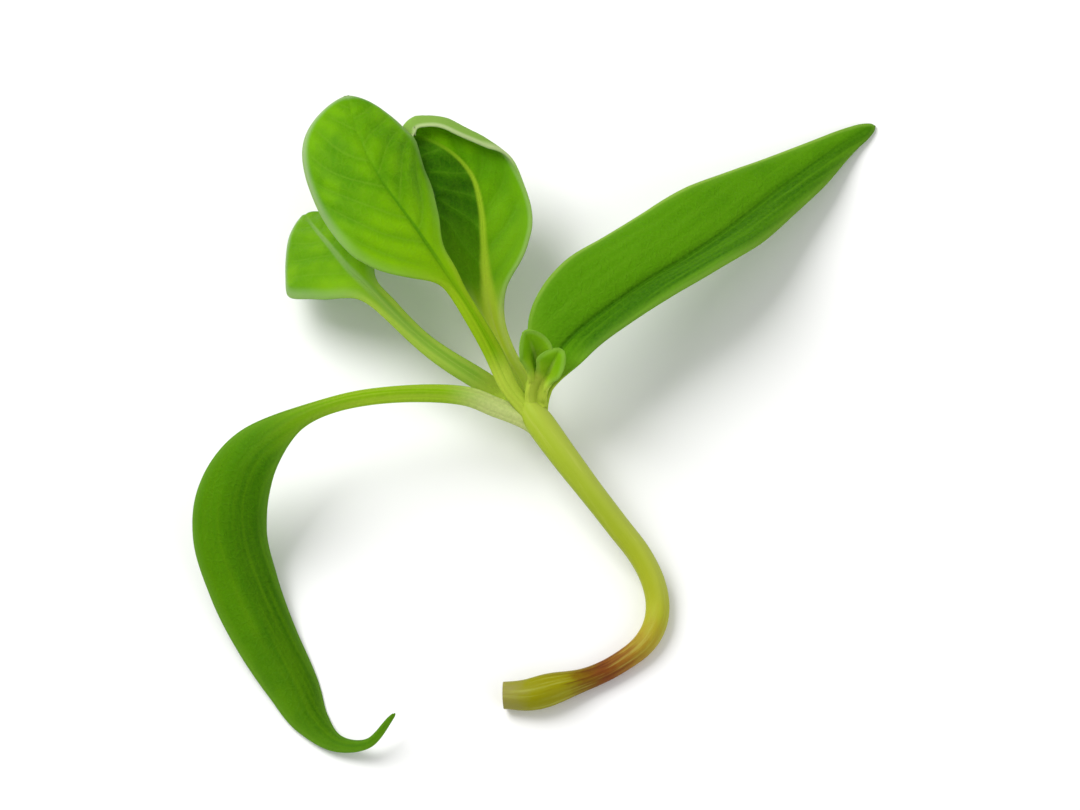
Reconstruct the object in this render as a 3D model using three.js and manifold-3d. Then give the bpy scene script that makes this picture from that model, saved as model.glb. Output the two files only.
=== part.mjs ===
// A baby spinach shoot, cut off at the root end and lying on its side: a stem that ends in the crown,
// two strap-shaped seed leaves, three spoon-shaped leaves and a pair of tiny young leaves.
// Millimetres, +Z up. The origin is below the middle of the shoot, on the surface that it lies on.
import * as THREE from "three";
import { mergeVertices } from "three/addons/utils/BufferGeometryUtils.js";
import Module from "manifold-3d";

const wasm = await Module();
wasm.setup();

const crown = new THREE.Vector3(-0.47, -0.81, 5); // where all leaves grow from; every point below is measured from it
const bladeThickness = 0.6;
const edgeRounding = 0.15; // how far a leaf's edge bulges between its two faces
const narrowestTip = 0.3; // half the width at which a tip is closed
const grooveReach = 0.45; // how far the channel over a midrib reaches to each side
const ribReach = 0.75; // half the width of the rib under a midrib
const up = new THREE.Vector3(0, 0, 1);

// Along each leaf, from the crown to its tip, the lists give evenly spaced values:
//   halfWidths  from the midrib to the edge
//   roundTip    the share of the length over which the tip is rounded off
//   lean        share by which the left half is wider than that, and the right half narrower
//   roll        degrees by which the upper face leans to the right, seen from the crown
//   slope       degrees by which each half climbs from the midrib, and edgeSlope the same at its edge
//   groove      degrees of the channel right beside the midrib
//   rib         how far the rib stands out below
//   wave        height of the waves in the edge, and waves the number of them
//   lip         a tip that is turned up and over, by `turn` degrees with the radius `bend`; the fold starts
//               at a share of the length, lies `skew` degrees off the square and falls back by `bow` to the
//               sides, by `drop` at most
const spoonRib = [0.42, 0.42, 0.42, 0.4, 0.38, 0.34, 0.28, 0.2, 0.15, 0.1, 0];
const strapRib = [0.5, 0.48, 0.42, 0.36, 0.3, 0.25, 0.2, 0.15, 0.1, 0.05, 0];

const leaves = {
  leaf_upper: {
    spine: [
      [-1.83, 2.16, 1.53],
      [-3.3, 5.1, 3.0],
      [-4.8, 7.5, 4.2],
      [-6.6, 10.0, 5.4],
      [-9.0, 13.3, 6.8],
      [-11.6, 16.8, 7.7],
      [-13.2, 20.0, 7.7],
      [-14.2, 24.1, 6.6],
    ],
    halfWidths: [0.45, 0.4, 0.4, 0.5, 1.75, 3.5, 4.5, 4.9, 4.95, 4.7, 4.3],
    roundTip: 0.23,
    lean: [0, 0, 0, 0, 0.55, 0.4, 0.2, 0.1, 0.03, 0, 0],
    roll: [5, 8, 10, 12, 14, 12, 10, 5],
    slope: [5, 5, 8, 8, 5, -2, -5, -5, -5, -5],
    edgeSlope: [5, 5, 8, 5, -15, -28, -35, -35, -30, -10],
    groove: 22,
    rib: spoonRib,
    wave: 0.2,
    waves: 2.5,
    colour: 0x74a81c,
  },
  leaf_cupped: {
    spine: [
      [-0.6, 3.45, -0.68],
      [-1.8, 5.8, -0.3],
      [-3.0, 8.3, 0.1],
      [-3.7, 11.3, 0.5],
      [-3.9, 14.2, 0.8],
      [-4.1, 16.8, 1.3],
      [-4.6, 19.1, 2.2],
      [-5.3, 21.1, 3.1],
      [-6.1, 22.9, 3.9],
      [-6.7, 24.3, 4.6],
    ],
    halfWidths: [0.55, 0.5, 0.6, 1.15, 2.6, 3.7, 4.0, 4.2, 3.75, 3.3, 3.2],
    roundTip: 0.22,
    lean: [0, 0, 0, 0, 0.02, 0.08, 0.12, 0.18, 0.33, 0.55, 0.6],
    roll: [0, 5, 8, 10, 12, 12, 6, -2],
    slope: [25, 25, 25, 22, 18, 12, 6, 0, -4, -4],
    edgeSlope: [30, 35, 40, 42, 38, 32, 26, 14, 2, 0],
    lip: { start: 0.9, bend: 0.5, turn: 160, skew: 33, bow: 0.12, drop: 1.2 },
    groove: 14,
    rib: spoonRib,
    wave: 0.2,
    waves: 2,
    colour: 0x5f9a18,
  },
  leaf_lower: {
    spine: [
      [-1.9, 2.35, -1.3],
      [-4.6, 3.75, 0.0],
      [-6.6, 4.8, 0.9],
      [-8.4, 6.0, 1.5],
      [-10.2, 7.5, 2.1],
      [-11.6, 8.9, 2.4],
      [-12.9, 10.3, 2.3],
      [-14.3, 12.0, 1.6],
      [-15.7, 14.3, 0.1],
      [-17.1, 16.8, -2.0],
      [-18.0, 19.1, -4.4],
    ],
    halfWidths: [0.5, 0.5, 0.45, 0.45, 0.6, 1.0, 3.0, 5.0, 4.95, 4.4, 3.6],
    roundTip: 0.4,
    lean: [0, 0, 0, 0, 0, 0.15, 0.12, 0.03, -0.05, -0.25, -0.45],
    roll: [-5, -5, 0, 0, 0, 0, 0, 0],
    slope: [5, 5, 8, 8, 8, 0, -3, -3, 0, 0],
    edgeSlope: [5, 5, 8, 5, -10, -25, -30, -30, -25, -20],
    groove: 22,
    rib: spoonRib,
    wave: 0.25,
    waves: 2.5,
    colour: 0x80b022,
  },
  seed_leaf_left: {
    spine: [
      [-2.35, 0.8, 0.7],
      [-5.1, 1.55, 1.7],
      [-9.9, 1.4, 2.8],
      [-14.7, 0.45, 3.5],
      [-18.9, -1.3, 3.4],
      [-21.6, -3.4, 2.6],
      [-22.9, -5.9, 1.2],
      [-23.1, -8.8, -0.4],
      [-22.0, -12.1, -2.0],
      [-20.15, -15.9, -3.2],
      [-18.2, -19.4, -3.9],
      [-16.8, -22.1, -4.2],
      [-14.9, -24.0, -4.0],
      [-12.5, -24.3, -3.2],
      [-10.6, -22.6, -1.8],
    ],
    halfWidths: [0.5, 0.45, 0.45, 0.7, 2.1, 2.95, 2.8, 2.4, 1.75, 0.65, 0.3],
    roundTip: 0.03,
    lean: [0, 0, 0.2, 0, 0, 0, 0],
    roll: [0, 0, 0, 0, 5, 10, 0, -5, -5, 0],
    slope: [5, 5, 0, 0, -5, -10, -12, -10, -5, 0],
    edgeSlope: [10, 5, 0, -5, -15, -20, -20, -15, -5, 0],
    groove: 8,
    rib: strapRib,
    wave: 0.1,
    waves: 3,
    colour: 0x5c9a16,
  },
  seed_leaf_right: {
    spine: [
      [0.74, 2.82, 0.5],
      [1.5, 4.4, 1.4],
      [2.8, 6.1, 1.9],
      [5.5, 8.4, 2.0],
      [8.6, 10.9, 1.5],
      [11.9, 13.4, 0.6],
      [15.1, 16.2, -0.6],
      [18.3, 19.4, -2.0],
      [21.3, 22.2, -3.2],
      [24.2, 24.7, -4.1],
      [26.6, 26.3, -4.5],
    ],
    halfWidths: [0.9, 2.8, 3.8, 4.1, 4.2, 4.0, 3.6, 2.9, 2.1, 1.2, 0.5],
    roundTip: 0.04,
    lean: [0, 0.25, 0.25, 0.2, 0.15, 0.05, 0],
    roll: [-5, -14, -20, -20, -14, -8, -3, 0],
    slope: [30, 32, 32, 30, 25, 20, 14, 8, 0],
    edgeSlope: [20, 15, 10, 5, 5, 5, 5, 0, 0],
    groove: 10,
    rib: strapRib,
    wave: 0.25,
    waves: 2.5,
    colour: 0x5a9a14,
  },
};

// Tiny leaves at the growing tip, in the same terms, fused at their bases.
const youngRib = [0.3, 0.2, 0.05];
const youngLeaves = [
  {
    spine: [
      [0.35, 2.35, 1.83],
      [0.2, 3.4, 3.2],
      [-0.1, 4.3, 4.3],
      [-0.5, 5.0, 5.6],
    ],
    halfWidths: [0.5, 0.6, 1.1, 1.35, 1.3, 1.1],
    roundTip: 0.4,
    lean: [0, 0],
    roll: [0, 0],
    slope: [20, 15, 10],
    edgeSlope: [30, 30, 25],
    groove: 15,
    rib: youngRib,
    wave: 0,
    waves: 1,
  },
  {
    spine: [
      [0.42, 2.2, 1.9],
      [1.0, 2.7, 3.2],
      [1.4, 3.2, 4.1],
      [1.9, 3.9, 4.8],
    ],
    halfWidths: [0.6, 0.6, 0.9, 1.1, 1.0, 0.9],
    roundTip: 0.4,
    lean: [0, 0],
    roll: [0, 0],
    slope: [20, 15, 10],
    edgeSlope: [30, 30, 25],
    groove: 15,
    rib: youngRib,
    wave: 0,
    waves: 1,
  },
];
const youngColour = 0x93b93a;

// Steps along a leaf and from its midrib to its edge; a crowding above 1 draws the steps to the tip.
const leafGrid = { stations: 26, columns: 5, crowding: 1.6 };
const foldedGrid = { stations: 40, columns: 5, crowding: 1.2 };
const strapGrid = { stations: 38, columns: 3, crowding: 1.15 };
const youngGrid = { stations: 9, columns: 2, crowding: 1.4 };

const stem = {
  spine: [
    [-1.1, 2.4, 0.2],
    [-0.4, 1.1, 0.1],
    [0.4, -0.1, 0],
    [2.0, -2.4, -0.2],
    [4.2, -5.2, -0.9],
    [6.2, -7.6, -1.9],
    [7.9, -9.6, -2.8],
    [8.9, -11.4, -3.5],
    [9.3, -13.1, -4.0],
    [9.1, -14.8, -4.12],
    [8.2, -16.37, -4.18],
    [6.2, -17.93, -4.25],
    [4.3, -18.91, -4.2],
    [1.5, -19.89, -3.88],
    [-0.4, -20.4, -3.88],
    [-2.3, -20.4, -4.05],
  ],
  radii: [1.2, 1.4, 1.38, 1.28, 1.18, 1.05, 0.93, 0.88, 0.82, 0.9, 1.25, 1.02],
  roundEnd: 0.04, // share of the length over which the crown is rounded off
  rings: 40,
  crowding: 1.4,
  sides: 12,
  colour: 0xa3ad2c,
};

// The smooth curve through evenly spaced values, at a share of the way along them.
function valueAt(values, share) {
  const last = values.length - 1;
  const place = share * last;
  const first = Math.min(Math.floor(place), last - 1);
  const part = place - first;
  const near = (step) => values[Math.min(Math.max(first + step, 0), last)];
  const leave = (near(1) - near(-1)) / 2;
  const arrive = (near(2) - near(0)) / 2;
  const rise = near(1) - near(0);
  return near(0) + part * (leave + part * (3 * rise - 2 * leave - arrive + part * (leave + arrive - 2 * rise)));
}

// What would reach below the surface that the shoot lies on is pressed flat against it.
function onSurface(point) {
  return point.setZ(Math.max(point.z, 0));
}

function spineCurve(points) {
  return new THREE.CatmullRomCurve3(points.map((point) => new THREE.Vector3(...point).add(crown)));
}

// The factor that rounds an end off: 0 at the end itself, 1 from a given share of the length away from it.
function rounding(shareFromEnd, reach) {
  return Math.sqrt(1 - THREE.MathUtils.clamp(1 - shareFromEnd / reach, 0, 1) ** 2);
}

function halfWidthAt(leaf, share) {
  return Math.max(valueAt(leaf.halfWidths, share) * rounding(1 - share, leaf.roundTip), narrowestTip);
}

// The midrib's place and the directions forward, up from the upper face and to the right of it.
function directionsAt(leaf, curve, share) {
  const middle = curve.getPointAt(share);
  const forward = curve.getTangentAt(share);
  const roll = THREE.MathUtils.degToRad(valueAt(leaf.roll, share));
  const face = up.clone().projectOnPlane(forward).normalize().applyAxisAngle(forward, roll);
  const right = forward.clone().cross(face);
  return { middle, forward, face, right };
}

// Where a point of the flat leaf comes to when the tip is turned up and over.
function turnedOver(point, leaf, curve) {
  const { start, bend, skew, bow, drop } = leaf.lip;
  const { middle, forward, face } = directionsAt(leaf, curve, start);
  const heading = forward.applyAxisAngle(face, THREE.MathUtils.degToRad(-skew));
  const offset = point.clone().sub(middle);
  const aside = offset.dot(heading.clone().cross(face));
  const beyond = Math.max(offset.dot(heading) + Math.min(bow * aside * aside, drop), 0);
  const turn = Math.min(beyond / bend, THREE.MathUtils.degToRad(leaf.lip.turn));
  const straight = beyond - turn * bend;
  const reach = bend * Math.sin(turn) + straight * Math.cos(turn) - beyond;
  const climb = bend * (1 - Math.cos(turn)) + straight * Math.sin(turn);
  return point.clone().addScaledVector(heading, reach).addScaledVector(face, climb);
}

// The points of the upper face across the leaf at one station, from its left edge to its right edge,
// found by walking out from the midrib at the slope of each half.
function crossSection(leaf, curve, share, columns) {
  const { middle, face, right } = directionsAt(leaf, curve, share);
  const halfWidth = halfWidthAt(leaf, share);
  const lean = valueAt(leaf.lean, share);
  const slope = valueAt(leaf.slope, share);
  const edgeSlope = valueAt(leaf.edgeSlope, share);
  const halves = [-1, 1].map((hand) => {
    const half = [];
    let outward = 0;
    let climb = 0;
    for (let column = 1; column <= columns; column += 1) {
      const step = (halfWidth * (1 - hand * lean)) / columns;
      const across = (column - 0.5) / columns;
      const channel = leaf.groove * Math.exp(-(outward + step / 2) / grooveReach);
      const angle = THREE.MathUtils.degToRad(slope + (edgeSlope - slope) * across + channel);
      outward += step * Math.cos(angle);
      climb += step * Math.sin(angle);
      const beat = Math.sin(2 * Math.PI * leaf.waves * share + (hand * Math.PI) / 4);
      const lift = climb + (leaf.wave * beat * halfWidth * (column / columns) ** 3) / Math.max(...leaf.halfWidths);
      half.push(middle.clone().addScaledVector(right, hand * outward).addScaledVector(face, lift));
    }
    return half;
  });
  const row = [...halves[0].reverse(), middle, ...halves[1]];
  return leaf.lip ? row.map((point) => turnedOver(point, leaf, curve)) : row;
}

// A leaf as one closed body: the upper face, the lower face under it and a rounded edge between them.
function leafGeometry(leaf, grid) {
  const curve = spineCurve(leaf.spine);
  const shares = Array.from(
    { length: grid.stations + 1 },
    (_, station) => 1 - (1 - station / grid.stations) ** grid.crowding,
  );
  const upper = shares.map((share) => crossSection(leaf, curve, share, grid.columns));
  const width = 2 * grid.columns;
  const pick = (rows, station, column) =>
    rows[THREE.MathUtils.clamp(station, 0, grid.stations)][THREE.MathUtils.clamp(column, 0, width)];
  const lower = upper.map((row, station) =>
    row.map((point, column) => {
      const lane = station === grid.stations ? grid.columns : column; // the edges run together at the tip
      const along = pick(upper, station + 1, lane).clone().sub(pick(upper, station - 1, lane));
      const across = pick(upper, station, lane + 1).clone().sub(pick(upper, station, lane - 1));
      const down = along.cross(across).normalize();
      const fromRib = point.distanceTo(row[grid.columns]) / ribReach;
      const thickness = bladeThickness + valueAt(leaf.rib, shares[station]) * Math.exp(-fromRib * fromRib);
      return onSurface(point.clone().addScaledVector(down, thickness));
    }),
  );
  const corners = [];
  const quad = (a, b, c, d) => corners.push(a, b, c, a, c, d);
  for (let station = 0; station < grid.stations; station += 1) {
    for (let column = 0; column < width; column += 1) {
      const face = [
        [station, column],
        [station, column + 1],
        [station + 1, column + 1],
        [station + 1, column],
      ];
      quad(...face.map(([row, place]) => upper[row][place]));
      const [a, b, c, d] = face.map(([row, place]) => lower[row][place]);
      corners.push(a, c, b, a, d, c); // the same diagonal as above, seen from below
    }
  }
  edgeLoop(grid.stations, width).forEach(([station, column], place, loop) => {
    const next = loop[(place + 1) % loop.length];
    const rim = ([row, at]) => [upper[row][at], rimPoint(upper, lower, row, at, grid), lower[row][at]];
    const [top, bulge, bottom] = rim([station, column]);
    const [nextTop, nextBulge, nextBottom] = rim(next);
    quad(top, nextTop, nextBulge, bulge);
    quad(bulge, nextBulge, nextBottom, bottom);
  });
  return geometryOf(corners);
}

// The stations and columns round the edge of a leaf, in order.
function edgeLoop(stations, width) {
  const loop = [];
  for (let station = 0; station < stations; station += 1) loop.push([station, 0]);
  for (let column = 0; column < width; column += 1) loop.push([stations, column]);
  for (let station = stations; station > 0; station -= 1) loop.push([station, width]);
  for (let column = width; column > 0; column -= 1) loop.push([0, column]);
  return loop;
}

// The middle of the edge, pushed out from the leaf; the cut across its base stays flat.
function rimPoint(upper, lower, station, column, grid) {
  const middle = upper[station][column].clone().lerp(lower[station][column], 0.5);
  if (station === 0) return middle;
  const outward = new THREE.Vector3();
  const width = 2 * grid.columns;
  if (column === 0) outward.add(upper[station][0]).sub(upper[station][1]).normalize();
  if (column === width) outward.add(upper[station][width]).sub(upper[station][width - 1]).normalize();
  if (station === grid.stations) {
    const ahead = upper[station][grid.columns].clone().sub(upper[station - 1][grid.columns]).normalize();
    outward.add(ahead).normalize();
  }
  return middle.addScaledVector(outward, edgeRounding);
}

// A round stalk of changing thickness, with a flat strip along its lowest stretch, where it rests.
function stemGeometry() {
  const curve = spineCurve(stem.spine);
  const rings = [];
  for (let ring = 0; ring <= stem.rings; ring += 1) {
    const share = (ring / stem.rings) ** stem.crowding;
    const middle = curve.getPointAt(share);
    const forward = curve.getTangentAt(share);
    const top = up.clone().projectOnPlane(forward).normalize();
    const radius = Math.max(valueAt(stem.radii, share) * rounding(share, stem.roundEnd), narrowestTip);
    rings.push(
      Array.from({ length: stem.sides }, (_, side) => {
        const turn = (2 * Math.PI * (side + 0.5)) / stem.sides;
        return onSurface(middle.clone().addScaledVector(top.clone().applyAxisAngle(forward, turn), radius));
      }),
    );
  }
  const corners = [];
  rings.slice(1).forEach((ring, place) => {
    ring.forEach((point, side) => {
      const next = (side + 1) % stem.sides;
      const before = rings[place];
      corners.push(before[side], before[next], ring[next], before[side], ring[next], point);
    });
  });
  const ends = [
    [rings[0], -1],
    [rings.at(-1), 1],
  ];
  for (const [ring, hand] of ends) {
    const middle = ring.reduce((sum, point) => sum.add(point), new THREE.Vector3()).divideScalar(ring.length);
    ring.forEach((point, side) => {
      const next = ring[(side + 1) % ring.length];
      corners.push(middle, ...(hand > 0 ? [point, next] : [next, point]));
    });
  }
  return geometryOf(corners);
}

function geometryOf(corners) {
  const geometry = new THREE.BufferGeometry().setFromPoints(corners);
  return mergeVertices(geometry, 1e-4);
}

function named(name, geometry, colour) {
  const shaded = geometry.clone();
  shaded.computeVertexNormals();
  const mesh = new THREE.Mesh(shaded, new THREE.MeshStandardMaterial({ color: colour, roughness: 0.45 }));
  mesh.name = name;
  return mesh;
}

function fused(geometries) {
  const solids = geometries.map(
    (geometry) =>
      new wasm.Manifold(
        new wasm.Mesh({
          numProp: 3,
          vertProperties: geometry.attributes.position.array,
          triVerts: new Uint32Array(geometry.index.array),
        }),
      ),
  );
  const { vertProperties, triVerts } = solids.reduce((sum, solid) => sum.add(solid)).getMesh();
  return new THREE.BufferGeometry()
    .setAttribute("position", new THREE.BufferAttribute(vertProperties, 3))
    .setIndex(new THREE.BufferAttribute(triVerts, 1));
}

const shoot = new THREE.Group();
shoot.add(named("stem", stemGeometry(), stem.colour));
for (const [name, leaf] of Object.entries(leaves)) {
  const spoonGrid = leaf.lip ? foldedGrid : leafGrid;
  const grid = name.startsWith("seed") ? strapGrid : spoonGrid;
  shoot.add(named(name, leafGeometry(leaf, grid), leaf.colour));
}
const young = youngLeaves.map((leaf) => leafGeometry(leaf, youngGrid));
shoot.add(named("young_leaves", fused(young), youngColour));

export default shoot;
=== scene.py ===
import math

import bpy
import numpy as np
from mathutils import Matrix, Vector


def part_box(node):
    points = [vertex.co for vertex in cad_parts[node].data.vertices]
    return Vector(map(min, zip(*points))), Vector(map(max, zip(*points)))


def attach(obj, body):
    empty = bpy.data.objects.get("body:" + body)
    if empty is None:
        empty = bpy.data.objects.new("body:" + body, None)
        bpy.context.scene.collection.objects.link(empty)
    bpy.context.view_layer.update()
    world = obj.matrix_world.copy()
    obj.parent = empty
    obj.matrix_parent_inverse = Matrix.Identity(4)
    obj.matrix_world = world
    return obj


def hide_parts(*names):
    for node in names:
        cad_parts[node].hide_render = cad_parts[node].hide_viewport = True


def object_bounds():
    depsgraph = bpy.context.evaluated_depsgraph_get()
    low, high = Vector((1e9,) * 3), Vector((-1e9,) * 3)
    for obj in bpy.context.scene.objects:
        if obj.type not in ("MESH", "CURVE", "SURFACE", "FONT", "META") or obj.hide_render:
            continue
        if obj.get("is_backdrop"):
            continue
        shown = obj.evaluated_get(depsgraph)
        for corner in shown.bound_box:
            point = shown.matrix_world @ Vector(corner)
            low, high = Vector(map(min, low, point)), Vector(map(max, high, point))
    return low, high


# A baby spinach shoot, cut off at the root end and lying on a pale table.
# Shapes are worked out in mm and turn into metres where a mesh is made.

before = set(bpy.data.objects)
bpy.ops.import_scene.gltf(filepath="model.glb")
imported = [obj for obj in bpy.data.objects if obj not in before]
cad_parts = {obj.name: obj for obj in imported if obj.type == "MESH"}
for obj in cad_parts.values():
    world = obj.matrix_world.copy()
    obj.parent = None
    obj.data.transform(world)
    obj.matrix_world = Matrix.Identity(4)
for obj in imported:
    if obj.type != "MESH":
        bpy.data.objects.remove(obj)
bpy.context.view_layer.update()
print("loaded", len(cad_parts), "solids")

mm = 0.001
crownDepth = 1.35  # how far the middle of the crown is below the top of the stem's solid
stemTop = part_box("stem")[1][2] / mm
crown = np.array([-0.47, -0.81, stemTop - crownDepth])  # points are measured from here
stemHeading = np.array([-0.58, 0.81, 0.06])  # the way the stem points at the crown
up = np.array([0.0, 0.0, 1.0])
tableHeight = 0.0


# Curves and values along a length


def eased(start, end, leave, arrive, part):  # from start to end, with a set speed at both
    rise = end - start
    bend = 3 * rise - 2 * leave - arrive + part * (leave + arrive - 2 * rise)
    return start + part * (leave + part * bend)


def valueAt(values, share):  # the smooth curve through evenly spaced values
    values = np.asarray(values, float)
    last = len(values) - 1
    place = np.clip(share, 0, 1) * last
    first = np.minimum(place.astype(int), last - 1)

    def near(step):
        return values[np.clip(first + step, 0, last)]

    leave = (near(1) - near(-1)) / 2
    arrive = (near(2) - near(0)) / 2
    return eased(near(0), near(1), leave, arrive, place - first)


def smoothstep(low, high, value):
    part = np.clip((value - low) / (high - low), 0, 1)
    return part * part * (3 - 2 * part)


def unit(vectors):
    return vectors / np.maximum(np.linalg.norm(vectors, axis=-1, keepdims=True), 1e-12)


def smoothLine(points, steps=60):  # a centripetal curve through the points, as a dense line
    points = crown + np.array(points, float)
    points = np.vstack([2 * points[0] - points[1], points, 2 * points[-1] - points[-2]])
    part = np.linspace(0, 1, steps, endpoint=False)[:, None]
    line = []
    for a, b, c, d in zip(points, points[1:], points[2:], points[3:]):
        pairs = ((a, b), (b, c), (c, d))
        before, here, after = (np.sqrt(np.linalg.norm(q - p)) for p, q in pairs)
        leave = here * ((b - a) / before - (c - a) / (before + here) + (c - b) / here)
        arrive = here * ((c - b) / here - (d - b) / (here + after) + (d - c) / after)
        line.append(eased(b, c, leave, arrive, part))
    return np.vstack([*line, points[-2:-1]])


def rootLine(root, line, steps=40):  # from inside the stem to the start of a leaf's line
    root = crown + np.array(root, float)
    reach = np.linalg.norm(line[0] - root)
    arrive = unit(line[1] - line[0]) * reach
    part = np.linspace(0, 1, steps, endpoint=False)[:, None]
    return eased(root, line[0], stemHeading * reach, arrive, part)


class Path:  # a line that can be asked for its place and direction at any distance along it
    def __init__(self, line, root=None):
        before = rootLine(root, line) if root is not None else line[:0]
        self.points = np.vstack([before, line])
        steps = np.linalg.norm(np.diff(self.points, axis=0), axis=1)
        self.places = np.concatenate([[0], np.cumsum(steps)])
        self.places -= self.places[len(before)]
        self.rootLength = -self.places[0]
        self.length = self.places[-1]

    def at(self, along):
        return np.stack([np.interp(along, self.places, axis) for axis in self.points.T], axis=-1)

    def frames(self, along, roll):  # forward, right and face directions, rolled by degrees
        nearby = 0.05
        low = np.clip(along - nearby, self.places[0], self.length)
        high = np.clip(along + nearby, self.places[0], self.length)
        forward = unit(self.at(high) - self.at(low))
        face = unit(up - forward * (forward @ up)[:, None])
        turn = np.radians(roll)[:, None]
        face = face * np.cos(turn) + np.cross(forward, face) * np.sin(turn)
        return forward, np.cross(forward, face), face


# Leaves: a grid of points for the upper face, one below it for the lower face, and a rounded
# edge between. Lists give evenly spaced values from the crown to the tip. Their names:
#   halfWidths  from the midrib to the edge
#   roundTip    share of the length over which the tip is rounded off
#   lean        share by which the left half is wider, and the right half narrower
#   roll        degrees by which the upper face leans to the right
#   slope       degrees by which each half climbs from the midrib, and edgeSlope the same at
#               its edge
#   groove      degrees of the channel right beside the midrib
#   rib         how far the rib stands out below
#   ridge       how far the midrib stands out above, or is sunk where it is below 0
#   hem         how far the left and the right margin turn up, or down where it is below 0
#   hemReach    width of that hem, where it isn't the usual one
#   lip         a margin that is rolled up and over round the tip: its width `reach`, the radius
#               `bend`, the degrees of `turn`, and how far from the tip it begins and is complete
#               on the `left` and `right`
#   thickness   at the midrib and at the edge, where it isn't the usual one
#   wave        how far the edge swings up and down, as often as `waves` says
#   root        where the stalk starts, inside the stem
#   blade       shares of the length between which the stalk turns into the blade

leafBuild = dict(
    stations=200,
    rootStations=18,
    columns=32,
    crowding=1.5,  # above 1, stations crowd towards the tip
    columnCrowding=0.6,  # above 0, columns crowd towards the midrib and the margins
    rimSteps=5,
    solidThickness=0.6,  # what the solids have, so that the blade here lies in their middle
    middleThickness=0.5,
    edgeThickness=0.26,
    tipThickness=0.55,  # share of the thickness that is left at the tip
    tipStart=0.8,  # share of the length where it begins to get thinner
    narrowestTip=0.03,
    grooveReach=0.45,
    ribReach=0.72,
    ridgeReach=0.3,
    hemReach=0.85,
    hemChange=1.5,  # mm on both sides of the midrib over which the left hem turns into the right
    rootNarrowing=0.55,
    waveLag=math.pi / 4,  # radians by which the waves lead on the right and lag on the left
    veinStep=0.5,  # how far the veins on the left start between those on the right, in spacings
    veinWander=0.22,  # how far they stray, in spacings
    wanderReach=7.0,
    veinSlant=0.75,  # distance between two veins, as a share of their spacing
    veinStart=(0.15, 0.6),  # mm from the midrib between which they come up
    veinEnd=(0.1, 1.6),  # mm from the edge between which they fade
    veinBelow=1.6,  # how far they stand out below, in times their dip above
    softReach=3.2,  # a soft unevenness of the blade
    softStart=(0.2, 1.2),
    softShare=0.45,
    rimUnder=0.4,  # how much the rim looks like the underside
    hemFull=0.4,  # mm of hem that has all of its colour, a pale tint that is partly painted sheen
    hemFade=(0.05, 0.85),
    lipFade=(0.5, 1.6),  # turn, in radians, between which a lip gets the colour of a hem
)

spoonRib = [0.42, 0.42, 0.42, 0.4, 0.38, 0.34, 0.28, 0.2, 0.15, 0.1, 0]
strapRib = [0.5, 0.48, 0.42, 0.36, 0.3, 0.25, 0.2, 0.15, 0.1, 0.05, 0]
youngRib = [0.3, 0.2, 0.05]

# Side veins leave the midrib every `spacing` mm and run forward by `lean` mm for each mm outward,
# more so further out by `bow`; `dip` is their depth and `quilt` how far the blade swells between.
spoonVeins = dict(spacing=2.6, lean=0.75, bow=0.12, dip=0.018, width=0.18, quilt=0.1)
strapVeins = dict(spacing=5.0, lean=2.5, bow=0.3, dip=0.008, width=0.18, quilt=0.02)

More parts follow.
